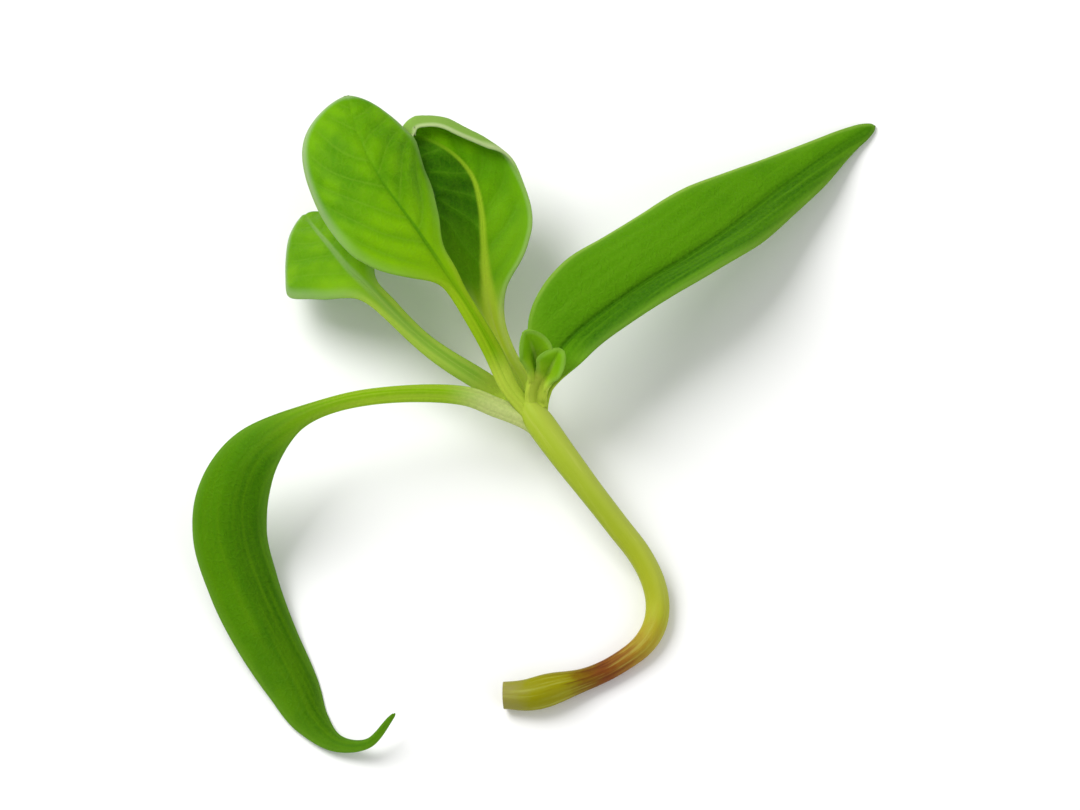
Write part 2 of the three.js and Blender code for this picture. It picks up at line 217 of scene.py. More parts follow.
leaves = dict(
    leafUpper=dict(
        node="leaf_upper",
        slot="leaf",
        spine=[
            (-2.2, 2.9, 1.9),
            (-3.3, 5.1, 3.0),
            (-4.8, 7.5, 4.2),
            (-6.6, 10.0, 5.4),
            (-9.0, 13.3, 6.8),
            (-11.6, 16.8, 7.7),
            (-13.2, 20.0, 7.7),
            (-14.3, 24.4, 6.5),
        ],
        root=(0.3, -0.1, 0.45),
        halfWidths=[0.36, 0.26, 0.24, 0.42, 1.75, 3.6, 4.9, 5.2, 5.15, 4.9, 4.6],
        roundTip=0.23,
        lean=[0, 0, 0, 0, 0.55, 0.35, 0.12, 0.05, 0, 0, 0],
        roll=[5, 8, 10, 12, 14, 12, 10, 5],
        slope=[5, 5, 8, 8, 5, -2, -5, -5, -5, -5],
        edgeSlope=[5, 5, 8, 5, -15, -28, -35, -35, -30, -25],
        groove=22,
        rib=spoonRib,
        ridge=[0, 0, 0, -0.03, -0.08, -0.09, -0.08, -0.05, -0.02, 0, 0],
        hem=(
            [0, 0, 0, 0, -0.05, -0.12, -0.3, -0.45, -0.45, -0.4],
            [0, 0, 0, 0, 0, -0.08, -0.12, -0.15, -0.25, -0.4],
        ),
        wave=0.2,
        waves=2.5,
        blade=(0.28, 0.46),
        veins=spoonVeins,
        seed=3,
    ),
    leafCupped=dict(
        node="leaf_cupped",
        slot="leaf",
        spine=[
            (-1.2, 3.8, -0.6),
            (-2.3, 5.8, -0.3),
            (-3.2, 8.3, 0.1),
            (-3.7, 11.3, 0.5),
            (-3.9, 14.2, 0.8),
            (-4.1, 16.8, 1.3),
            (-4.7, 19.0, 2.2),
            (-5.9, 20.4, 3.0),
            (-7.5, 21.4, 3.5),
            (-9.2, 22.0, 3.7),
            (-10.9, 22.2, 3.6),
        ],
        root=(0.5, 0.1, -0.1),
        halfWidths=[0.45, 0.42, 0.66, 1.7, 3.2, 3.95, 4.2, 3.75, 3.2, 3.0, 3.0],
        roundTip=0.2,
        lean=[0, 0, 0.12, 0.22, 0.12, 0.09, 0.17, 0.19, 0.1, 0.05, 0.05],
        lip=dict(reach=1.5, bend=0.32, turn=165, left=(4, 1), right=(14, 6)),
        roll=[0, 5, 8, 10, 12, 12, 6, -2],
        slope=[8, 10, 15, 18, 16, 12, 6, 0, -4, -4],
        edgeSlope=[12, 18, 30, 38, 36, 30, 24, 12, 2, 0],
        groove=14,
        rib=spoonRib,
        ridge=[0.1, 0.2, 0.24, 0.24, 0.22, 0.2, 0.17, 0.13, 0.09, 0.04, 0],
        hem=([0, 0], [0, 0]),
        wave=0.2,
        waves=2,
        blade=(0.12, 0.36),
        veins=spoonVeins,
        seed=5,
    ),
    leafLower=dict(
        node="leaf_lower",
        slot="leaf",
        spine=[
            (-2.9, 2.9, -0.9),
            (-4.6, 3.75, 0.0),
            (-6.6, 4.8, 0.9),
            (-8.4, 6.0, 1.5),
            (-10.2, 7.5, 2.1),
            (-11.6, 8.9, 2.4),
            (-12.9, 10.3, 2.3),
            (-14.3, 12.0, 1.6),
            (-15.7, 14.3, 0.1),
            (-17.1, 16.8, -2.0),
            (-18.0, 19.1, -4.4),
        ],
        root=(0.2, -0.3, -0.4),
        halfWidths=[0.48, 0.45, 0.42, 0.42, 0.55, 1.0, 3.0, 5.05, 4.95, 4.35, 3.6],
        roundTip=0.4,
        lean=[0, 0, 0, 0, 0, 0.15, 0.12, 0.03, -0.05, -0.25, -0.45],
        roll=[-5, -5, 0, 0, 0, 0, 0, 0],
        slope=[5, 5, 8, 8, 8, 0, -3, -3, 0, 0],
        edgeSlope=[5, 5, 8, 5, -10, -25, -30, -30, -25, -20],
        groove=22,
        rib=spoonRib,
        ridge=[0.05, 0.1, 0.1, 0.1, 0.1, 0.09, 0.06, 0.05, 0.04, 0.02, 0],
        hem=(
            [0, 0, 0, 0, 0, -0.15, -0.25, -0.35, -0.35, -0.3],
            [0, 0, 0, 0, 0, -0.1, -0.2, -0.2, -0.2, -0.3],
        ),
        wave=0.25,
        waves=2.5,
        blade=(0.42, 0.6),
        veins=spoonVeins,
        seed=8,
    ),
    seedLeafLeft=dict(
        node="seed_leaf_left",
        slot="seed_leaf",
        spine=[
            (-2.9, 0.95, 0.9),
            (-5.1, 1.55, 1.7),
            (-9.9, 1.4, 2.8),
            (-14.7, 0.45, 3.5),
            (-18.9, -1.3, 3.4),
            (-21.6, -3.4, 2.6),
            (-22.9, -5.9, 1.2),
            (-23.1, -8.8, -0.4),
            (-22.0, -12.1, -2.0),
            (-20.15, -15.9, -3.2),
            (-18.2, -19.4, -3.9),
            (-16.8, -22.1, -4.2),
            (-14.9, -24.0, -4.0),
            (-12.5, -24.3, -3.2),
            (-10.6, -22.6, -1.8),
        ],
        root=(0.6, -0.9, 0.1),
        halfWidths=[0.35, 0.28, 0.34, 0.62, 2.1, 2.95, 2.85, 2.45, 1.8, 0.55, 0.15],
        roundTip=0.03,
        lean=[0, 0, 0.25, 0, 0, 0, 0],
        roll=[0, 0, 0, 0, 5, 10, 0, -5, -5, 0],
        slope=[5, 5, 0, 0, -5, -10, -12, -10, -5, 0],
        edgeSlope=[10, 5, 0, -5, -15, -20, -20, -15, -5, 0],
        groove=8,
        rib=strapRib,
        ridge=[0.1, 0.12, 0.1, 0.06, 0, -0.04, -0.05, -0.04, -0.02, 0, 0],
        hem=([0, 0, -0.1, -0.16, -0.16, -0.12, 0], [0, 0, -0.1, -0.16, -0.16, -0.12, 0]),
        wave=0.1,
        waves=3,
        blade=(0.2, 0.4),
        veins=strapVeins,
        seed=13,
    ),
    seedLeafRight=dict(
        node="seed_leaf_right",
        slot="seed_leaf",
        spine=[
            (0.5, 2.9, 0.6),
            (1.4, 4.4, 1.4),
            (2.8, 6.1, 1.9),
            (5.5, 8.4, 2.0),
            (8.6, 10.9, 1.5),
            (11.9, 13.4, 0.6),
            (15.1, 16.2, -0.6),
            (18.3, 19.4, -2.0),
            (21.3, 22.2, -3.2),
            (24.2, 24.7, -4.1),
            (26.6, 26.3, -4.5),
        ],
        root=(0.45, -0.2, -0.1),
        halfWidths=[0.9, 3.0, 3.8, 4.1, 4.2, 4.0, 3.6, 2.9, 2.1, 1.2, 0.5],
        roundTip=0.04,
        lean=[0, 0.25, 0.25, 0.22, 0.15, 0.05, 0],
        roll=[-5, -14, -20, -20, -14, -8, -3, 0],
        slope=[30, 32, 32, 30, 25, 20, 14, 8, 0],
        edgeSlope=[20, 15, 10, 5, 5, 5, 5, 0, 0],
        groove=12,
        rib=strapRib,
        ridge=[0, -0.03, -0.06, -0.07, -0.07, -0.06, -0.05, -0.04, -0.02, 0, 0],
        hem=([0, -0.08, -0.1, -0.1, -0.1, 0], [0, -0.1, -0.16, -0.16, -0.1, 0]),
        wave=0.25,
        waves=2.5,
        blade=(0.02, 0.15),
        veins=strapVeins,
        seed=21,
    ),
)

youngShape = dict(
    roundTip=0.45,
    lean=[0, 0],
    roll=[0, 0],
    slope=[25, 28, 22, 12],
    edgeSlope=[40, 45, 38, 20],
    groove=25,
    rib=youngRib,
    ridge=[0.03, 0.02, 0],
    hem=([0, -0.06, -0.06], [0, -0.06, -0.06]),
    hemReach=0.3,
    thickness=(0.32, 0.16),
    wave=0.06,
    waves=2,
    blade=(0.1, 0.4),
    veins=dict(spoonVeins, spacing=1.0, dip=0.01, quilt=0.02, width=0.1),
)
youngLeaves = [
    dict(
        youngShape,
        spine=[(0.3, 2.7, 2.3), (0.2, 3.4, 3.2), (-0.1, 4.3, 4.3), (-0.5, 5.0, 5.6)],
        root=(0.2, 0.9, 0.5),
        halfWidths=[0.5, 0.6, 1.1, 1.35, 1.3, 1.1],
        seed=34,
    ),
    dict(
        youngShape,
        spine=[(0.6, 2.4, 2.3), (1.0, 2.7, 3.2), (1.4, 3.2, 4.1), (1.9, 3.9, 4.8)],
        root=(0.4, 0.7, 0.5),
        halfWidths=[0.6, 0.6, 0.9, 1.1, 1.0, 0.9],
        seed=55,
    ),
]


def ripple(seed, along, across, reach):  # a soft seeded swell from -1 to 1, about `reach` mm long
    draw = np.random.default_rng(seed)
    total = np.zeros(np.broadcast(along, across).shape)
    waveCount = 5
    for _ in range(waveCount):
        heading = draw.uniform(0, 2 * np.pi)
        beat = 2 * np.pi / (reach * draw.uniform(0.7, 1.5))
        shift = draw.uniform(0, 2 * np.pi)
        total = total + np.sin(beat * (along * np.cos(heading) + across * np.sin(heading)) + shift)
    return total / waveCount


def marginOf(grid):  # the values round a leaf's margin: up its left side, round the tip and back
    start = leafBuild["rootStations"]
    return np.concatenate([grid[start:-1, 0], grid[-1], grid[-2 : start - 1 : -1, -1]])


def rolledOver(surface, normals, edge, nearest, lip):  # the face, its margin rolled over the tip
    margin = marginOf(surface)
    onward = unit(np.gradient(margin, axis=0))
    outward = unit(np.cross(normals, onward[nearest]))
    steps = np.linalg.norm(np.diff(margin, axis=0), axis=1)
    places = np.concatenate([[0], np.cumsum(steps)])
    places -= places[len(margin) // 2]  # mm round the margin from the tip, below 0 on the left
    begins, complete = zip(lip["left"], lip["right"])
    width = lip["reach"] * (1 - smoothstep(complete[0], begins[0], -places))
    width = width * (1 - smoothstep(complete[1], begins[1], places))
    rolled = np.maximum(width[nearest] - edge, 0)
    turn = np.minimum(rolled / lip["bend"], math.radians(lip["turn"]))
    straight = rolled - turn * lip["bend"]
    sine, cosine = np.sin(turn), np.cos(turn)
    out = lip["bend"] * sine + straight * cosine - rolled
    climb = lip["bend"] * (1 - cosine) + straight * sine
    bent = surface + out[..., None] * outward + climb[..., None] * normals
    turned = normals * cosine[..., None] - outward * sine[..., None]
    return bent, turned, smoothstep(*leafBuild["lipFade"], turn)


def leafSurface(leaf):  # the smooth upper face, and where each of its points is on the leaf
    build = leafBuild
    path = Path(smoothLine(leaf["spine"]), leaf["root"])
    stations = np.linspace(0, 1, build["stations"] + 1)
    share = 1 - (1 - stations) ** build["crowding"]
    rootPart = np.linspace(-1, 0, build["rootStations"], endpoint=False)
    along = np.concatenate([rootPart * path.rootLength, share * path.length])
    share = along / path.length
    forward, right, face = path.frames(along, valueAt(leaf["roll"], share))
    middle = path.at(along)

    fromTip = np.clip(1 - (1 - share) / leaf["roundTip"], 0, 1)
    rounded = valueAt(leaf["halfWidths"], share) * np.sqrt(1 - fromTip**2)
    depth = np.concatenate([-rootPart, np.zeros(len(stations))])  # inside the stem, from 0 to 1
    narrowing = 1 - (1 - build["rootNarrowing"]) * depth**2
    halfWidth = np.maximum(rounded, build["narrowestTip"]) * narrowing
    slope, edgeSlope, lean = (valueAt(leaf[name], share) for name in ("slope", "edgeSlope", "lean"))
    widest = max(leaf["halfWidths"])

    columnPlaces = np.linspace(0, 1, build["columns"] + 1)
    columnPlaces -= build["columnCrowding"] * np.sin(2 * np.pi * columnPlaces) / (2 * np.pi)
    halves, walks = [], []
    for hand in (-1, 1):
        reach = halfWidth * (1 - hand * lean)
        beat = np.sin(2 * np.pi * leaf["waves"] * share + hand * build["waveLag"])
        swing = leaf["wave"] * beat * (halfWidth / widest)
        outward = np.zeros_like(share)
        climb = np.zeros_like(share)
        points, walked = [], []
        for inner, outer in zip(columnPlaces, columnPlaces[1:]):
            step = reach * (outer - inner)
            channel = leaf["groove"] * np.exp(-(outward + step / 2) / build["grooveReach"])
            angle = np.radians(slope + (edgeSlope - slope) * (inner + outer) / 2 + channel)
            outward = outward + step * np.cos(angle)
            climb = climb + step * np.sin(angle)
            lift = climb + swing * outer**3
            points.append(middle + right * (hand * outward)[:, None] + face * lift[:, None])
            walked.append(hand * reach * outer)
        halves.append(points)
        walks.append(walked)
    surface = np.stack([*reversed(halves[0]), middle, *halves[1]], axis=1)
    across = np.stack([*reversed(walks[0]), np.zeros_like(share), *walks[1]], axis=1)
    along = np.broadcast_to(along[:, None], across.shape)
    normals = unit(np.cross(np.gradient(surface, axis=1), forward[:, None]))

    margin = marginOf(surface)
    gaps = [np.linalg.norm(row[:, None] - margin[None], axis=2) for row in surface]
    edge = np.stack([gap.min(axis=1) for gap in gaps])
    turnedOver = np.zeros_like(edge)
    if "lip" in leaf:
        nearest = np.stack([gap.argmin(axis=1) for gap in gaps])
        surface, normals, turnedOver = rolledOver(surface, normals, edge, nearest, leaf["lip"])
    return path, surface, normals, along, across, edge, turnedOver


def shell(upper, lower):  # both faces of a blade with a rounded rim between, and the grid's border
    rows, width = upper.shape[:2]
    count = rows * width
    index = np.arange(count).reshape(rows, width)
    corners = [index[:-1, :-1], index[:-1, 1:], index[1:, 1:], index[1:, :-1]]
    quads = np.stack(corners, axis=-1).reshape(-1, 4)
    border = np.concatenate([index[:-1, 0], index[-1, :-1], index[:0:-1, -1], index[0, :0:-1]])

    points = [upper.reshape(-1, 3), lower.reshape(-1, 3)]
    top, bottom = points[0][border], points[1][border]
    centre, half = (top + bottom) / 2, (top - bottom) / 2
    onward = unit(np.roll(centre, -1, axis=0) - np.roll(centre, 1, axis=0))
    outward = unit(np.cross(unit(half), onward))
    outward[border < width] = 0  # the root end, inside the stem, stays flat
    radius = np.linalg.norm(half, axis=1, keepdims=True)

    def band(ring, nextRing):
        sides = [ring, np.roll(ring, -1), np.roll(nextRing, -1), nextRing]
        return np.stack(sides, axis=-1)

    ring = border
    faces = [quads, quads[:, ::-1] + count]
    steps = leafBuild["rimSteps"]
    for step in range(steps):
        turn = math.pi * (step + 1) / (steps + 1)
        rim = centre + half * math.cos(turn) + outward * radius * math.sin(turn)
        rim[:, 2] = np.maximum(rim[:, 2], tableHeight)
        points.append(rim)
        nextRing = np.arange(len(border)) + 2 * count + step * len(border)
        faces.append(band(ring, nextRing))
        ring = nextRing
    faces.append(band(ring, border + count))
    return np.vstack(points), np.vstack(faces), border


def leafMesh(leaf):  # points, faces and the values that the leaf's finish reads
    build = leafBuild
    path, surface, normals, along, across, edge, turnedOver = leafSurface(leaf)
    share = along / path.length
    distance = np.abs(across)
    stalk = 1 - smoothstep(*leaf["blade"], share)

    veins = leaf["veins"]
    wander = build["veinWander"] * ripple(leaf["seed"], along, across, build["wanderReach"])
    phase = (along - distance * (veins["lean"] + veins["bow"] * distance)) / veins["spacing"]
    phase = phase + build["veinStep"] * (across < 0) + wander
    fromVein = np.abs(phase - np.round(phase)) * veins["spacing"] * build["veinSlant"]
    onBlade = (1 - stalk) * smoothstep(*build["veinStart"], distance)
    onBlade = onBlade * smoothstep(*build["veinEnd"], edge)
    vein = np.exp(-((fromVein / veins["width"]) ** 2)) * onBlade
    swell = np.cos(2 * np.pi * phase) * -0.5 * onBlade
    soft = ripple(leaf["seed"] + 1, along, across, build["softReach"]) * (1 - stalk)
    soft = soft * smoothstep(*build["softStart"], distance)
    leftHem, rightHem = (valueAt(values, share) for values in leaf["hem"])
    onRight = smoothstep(-build["hemChange"], build["hemChange"], across)
    hem = leftHem + (rightHem - leftHem) * onRight
    rolled = np.clip(1 - edge / leaf.get("hemReach", build["hemReach"]), 0, 1)
    ridge = valueAt(leaf["ridge"], share) * np.exp(-((distance / build["ridgeReach"]) ** 2))
    relief = veins["quilt"] * (swell + build["softShare"] * soft) + ridge + hem * rolled**2

    widths = np.where(across < 0, distance[:, :1], distance[:, -1:])
    out = np.clip(distance / np.maximum(widths, 1e-6), 0, 1)
    usual = (build["middleThickness"], build["edgeThickness"])
    middleThickness, edgeThickness = leaf.get("thickness", usual)
    thickness = edgeThickness + (middleThickness - edgeThickness) * (1 - out**2)
    thinning = (1 - build["tipThickness"]) * smoothstep(build["tipStart"], 1, share)
    thickness = thickness * (1 - thinning)
    rib = valueAt(leaf["rib"], share) * np.exp(-((distance / build["ribReach"]) ** 2))
    sink = (build["solidThickness"] - thickness) / 2
    above = relief - sink - veins["dip"] * vein
    below = relief - sink - thickness - rib - build["veinBelow"] * veins["dip"] * vein
    upper = surface + normals * above[..., None]
    lower = surface + normals * below[..., None]
    upper[..., 2] = np.maximum(upper[..., 2], tableHeight + thickness)
    lower[..., 2] = np.maximum(lower[..., 2], tableHeight)
    points, faces, border = shell(upper, lower)

    def spread(values):  # the same value on both faces and on the rim between them
        values = values.reshape(-1)
        return np.concatenate([values, values, *[values[border]] * build["rimSteps"]])

    rimUnder = np.full(len(border) * build["rimSteps"], build["rimUnder"])
    hemmed = np.abs(hem) / build["hemFull"] * smoothstep(*build["hemFade"], rolled)
    facts = dict(
        along=spread(along),
        across=spread(across),
        out=spread(out),
        edge=spread(edge),
        hem=spread(np.maximum(hemmed, turnedOver)),
        stalk=spread(stalk),
        share=spread(share),
        phase=spread(phase),
        under=np.concatenate([np.zeros(across.size), np.ones(across.size), rimUnder]),
    )
    return points, faces, facts


def joined(parts):  # several meshes as one
    points, faces, facts, count = [], [], {}, 0
    for partPoints, partFaces, partFacts in parts:
        points.append(partPoints)
        faces.append(partFaces + count)
        count += len(partPoints)
        for name, values in partFacts.items():
            facts.setdefault(name, []).append(values)
    facts = {name: np.concatenate(values) for name, values in facts.items()}
    return np.vstack(points), np.vstack(faces), facts


def makePiece(name, points, faces, facts, finish, node, slot):
    mesh = bpy.data.meshes.new(name)
    mesh.from_pydata((points * mm).tolist(), [], [list(face) for face in faces])
    mesh.validate(clean_customdata=False)
    for each, values in facts.items():
        attribute = mesh.attributes.new(each, "FLOAT", "POINT")
        attribute.data.foreach_set("value", values.astype(np.float32))
    mesh.shade_smooth()
    mesh.materials.append(finish)
    piece = bpy.data.objects.new(name, mesh)
    bpy.context.scene.collection.objects.link(piece)
    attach(piece, "root")
    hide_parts(node)
    print("made", name, "of", len(points), "points and", len(faces), "faces")


# The stem: a round stalk from the crown to the cut root end

stem = dict(
    spine=[
        (-1.0, 2.2, 0.2),
        (-0.4, 1.1, 0.1),
        (0.4, -0.1, 0),
        (2.0, -2.4, -0.2),
        (4.2, -5.2, -0.9),
        (6.2, -7.6, -1.9),
        (7.9, -9.6, -2.8),
        (8.9, -11.4, -3.5),
        (9.3, -13.1, -4.0),
        (9.1, -14.8, -4.12),
        (8.2, -16.37, -4.18),
        (6.2, -17.93, -4.25),
        (4.3, -18.91, -4.2),
        (1.5, -19.89, -3.88),
        (-0.4, -20.4, -3.88),
        (-2.3, -20.4, -4.05),
    ],
    radii=[1.0, 1.12, 1.04, 0.96, 0.92, 0.9, 0.9, 0.88, 0.8, 0.85, 1.25, 1.02],
    roundEnd=0.09,  # share of the length over which the crown's end is rounded
    rings=320,
    crowding=1.2,  # above 1, rings crowd towards the crown
    narrowest=0.02,
    sides=64,
    ridges=5,  # soft lengthwise ridges
    ridgeHeight=0.022,
    ridgeTwist=2.2,  # radians by which they wind round the stem
    knobs=0.02,  # uneven thickness
    knobReach=3.5,
    knobSpread=1.5,  # how much the knobs differ round the stem
    cutSteps=[0.985, 0.95, 0.85, 0.6, 0.3, 0.02],  # rings of the cut end, as shares of its radius
    cutDish=0.07,
    cutLip=0.02,
    seed=2,
)


def stemMesh():
    path = Path(smoothLine(stem["spine"]))
    share = np.linspace(0, 1, stem["rings"] + 1) ** stem["crowding"]
    along = share * path.length
    forward, right, face = path.frames(along, np.zeros_like(share))
    rounding = np.sqrt(1 - np.clip(1 - share / stem["roundEnd"], 0, 1) ** 2)
    radius = np.maximum(valueAt(stem["radii"], share) * rounding, stem["narrowest"])
    angle = 2 * np.pi * np.arange(stem["sides"]) / stem["sides"]
    roundX, roundY = np.cos(angle), np.sin(angle)
    ridge = np.cos(stem["ridges"] * angle + stem["ridgeTwist"] * share[:, None])
    knob = ripple(stem["seed"], along[:, None], stem["knobSpread"] * roundX, stem["knobReach"])
    size = radius[:, None] * (1 + stem["ridgeHeight"] * ridge + stem["knobs"] * knob)
    reach = face[:, None] * roundX[:, None] + right[:, None] * roundY[:, None]
    middle = path.at(along)
    rings = list(middle[:, None] + reach * size[..., None])
    cut = [0.0] * len(rings)
    last = rings[-1]
    for inner in stem["cutSteps"]:  # the cut end, slightly dished
        dish = stem["cutDish"] * (1 - inner**2) - stem["cutLip"] * (1 - inner)
        rings.append(middle[-1] + (last - middle[-1]) * inner - forward[-1] * dish)
        cut.append(1.0)
    rings = np.array(rings)
    rings[..., 2] = np.maximum(rings[..., 2], tableHeight)

    count, sides = rings.shape[:2]
    index = np.arange(count * sides).reshape(count, sides)
    turned = np.roll(index, -1, axis=1)
    faces = np.stack([index[:-1], turned[:-1], turned[1:], index[1:]], axis=-1).reshape(-1, 4)
    ends = [index[0, ::-1], index[-1]]  # the two small faces that close it
    everyShare = np.concatenate([share, np.ones(len(stem["cutSteps"]))])
    facts = dict(
        share=np.repeat(everyShare, sides),
        along=np.repeat(everyShare * path.length, sides),
        roundX=np.tile(roundX, count),
        roundY=np.tile(roundY, count),
        cut=np.repeat(cut, sides),
    )
    return rings.reshape(-1, 3), [*faces, *ends], facts


# Finishes


class Shade:  # an output of a node, so that shader maths is written as Python expressions
    def __init__(self, tree, output=None):
        self.tree, self.output = tree, output

    def node(self, kind, settings=None, inputs=None, output=0):
        made = self.tree.nodes.new(kind)
        for name, value in (settings or {}).items():
            if name == "stops":
                while len(made.color_ramp.elements) < len(value):
                    made.color_ramp.elements.new(0.5)
                for element, (position, code) in zip(made.color_ramp.elements, value):
                    element.position, element.color = position, tint(code)
            else:
                setattr(made, name, value)
        for name, value in (inputs or {}).items():
            if isinstance(value, Shade):
                self.tree.links.new(value.output, made.inputs[name])
            else:
                made.inputs[name].default_value = value
        return Shade(self.tree, made.outputs[output] if made.outputs else None)

    def maths(self, operation, first, second=0.0):
        return self.node("ShaderNodeMath", {"operation": operation}, {0: first, 1: second})

    def __add__(self, other):
        return self.maths("ADD", self, other)

    def __sub__(self, other):
        return self.maths("SUBTRACT", self, other)

    def __rsub__(self, other):
        return self.maths("SUBTRACT", other, self)

    def __mul__(self, other):
        return self.maths("MULTIPLY", self, other)

    def __truediv__(self, other):
        return self.maths("DIVIDE", self, other)

    __radd__ = __add__
    __rmul__ = __mul__

    def __abs__(self):
        return self.maths("ABSOLUTE", self)

    def between(self, low, high):  # 0 below low, 1 above high, smooth between them
        inputs = {"Value": self, "From Min": low, "From Max": high}
        return self.node("ShaderNodeMapRange", {"interpolation_type": "SMOOTHSTEP"}, inputs)


def tint(code):  # a colour written as on a screen, for Blender
    channels = [int(code[place : place + 2], 16) / 255 for place in (1, 3, 5)]
    linear = [c / 12.92 if c <= 0.04045 else ((c + 0.055) / 1.055) ** 2.4 for c in channels]
    return (*linear, 1.0)


def newFinish(name):
    material = bpy.data.materials.new(name)
    material.use_nodes = True
    material.node_tree.nodes.clear()
    return material, Shade(material.node_tree)


def readFacts(start, *names):  # the values that a mesh keeps for its finish
    kind = "ShaderNodeAttribute"
    return [start.node(kind, {"attribute_name": name}, output="Fac") for name in names]


def mixed(start, share, first, second):
    inputs = {0: share, 6: first, 7: second}
    return start.node("ShaderNodeMix", {"data_type": "RGBA"}, inputs, output=2)


def layered(start, colour, layers):  # each shade laid over the last one, as far as its mask says
    for mask, shade in layers:
        colour = mixed(start, mask, colour, shade)
    return colour


def place(start, x, y, z):
    return start.node("ShaderNodeCombineXYZ", {}, {"X": x, "Y": y, "Z": z})


def noise(start, where, scale, detail=2.0, roughness=0.5):
    inputs = {"Vector": where, "Scale": scale, "Detail": detail, "Roughness": roughness}
    return start.node("ShaderNodeTexNoise", {}, inputs)


def tissue(start, colour, roughness, height, look):  # a fresh skin that lets some light through
    relief = {"Strength": 1.0, "Distance": look["grain"] * mm, "Height": height}
    bump = start.node("ShaderNodeBump", {}, relief)
    skin = start.node(
        "ShaderNodeBsdfPrincipled",
        {},
        {
            "Base Color": colour,
            "Roughness": roughness,
            "Normal": bump,
            "IOR": 1.4,
            "Specular IOR Level": look["shine"],
            "Sheen Weight": look["down"],
            "Sheen Roughness": 0.4,
            "Sheen Tint": tint(look["downShade"]),
        },
    )
    inputs = {"Color": tint(look["lightThrough"]), "Normal": bump}
    through = start.node("ShaderNodeBsdfTranslucent", {}, inputs)
    both = start.node("ShaderNodeMixShader", {}, {0: look["through"], 1: skin, 2: through})
    start.node("ShaderNodeOutputMaterial", {}, {"Surface": both})


# What the skins of all leaves share. A noise is given by its scale per mm, its detail and its
# roughness; a pair is the two values between which a pattern comes up or fades.
leafSkin = dict(
    underShift=5.0,  # sets the patterns of the underside apart from those of the upper face
    patchEnds=(0.38, 0.64),
    warmShare=0.85,
    grainNoise=(3.5, 4.0, 0.65),
    fleckEnds=(0.3, 0.75),
    streakNoise=(1.0, 3.0),
    streakStretch=0.07,  # the lower, the longer the streaks
    streakShift=3.0,
    streakEnds=(0.4, 0.7),
    veinFade=(0.1, 1.4),  # mm from the edge
    veinEnds=(0.3, 1.6),  # in widths of a vein
    paintedFurrowShadeWidth=0.4,  # share of the spacing of the veins over which the painted furrow shade reaches
    netNoise=(0.9, 2.0),  # bends the fine net between the veins
    netBend=1.2,
    netEnds=(0.02, 0.16),
    baseEnds=(0.1, 0.5),  # shares of the length over which the rib's base shade fades
    ribTaper=1.15,
    ribEnds=(0.3, 1.2),  # in widths of the rib
    ribOnStalk=0.5,  # share by which the rib is weaker on the stalk
    paintedShadeEnds=(0.35, 0.65),
    stalkRim=(0.45, 0.95),  # shares of the way from the midrib to the edge
    stalkMiddle=(0.05, 0.3),
    stalkStreak=(0.35, 0.7),
    stalkStreakShare=0.3,
    baseShare=0.8,
    rimHighlightEnds=(0.02, 0.3),
    rimHighlightPlain=0.3,  # how strong the painted rim highlight is where there is no hem
    grainRoughness=0.2,
    underRoughness=0.08,
    papillae=(7.0, 2.0, 0.7),
    bumps=dict(papillae=0.6, net=0.35, streak=0.3, grain=0.3),
)


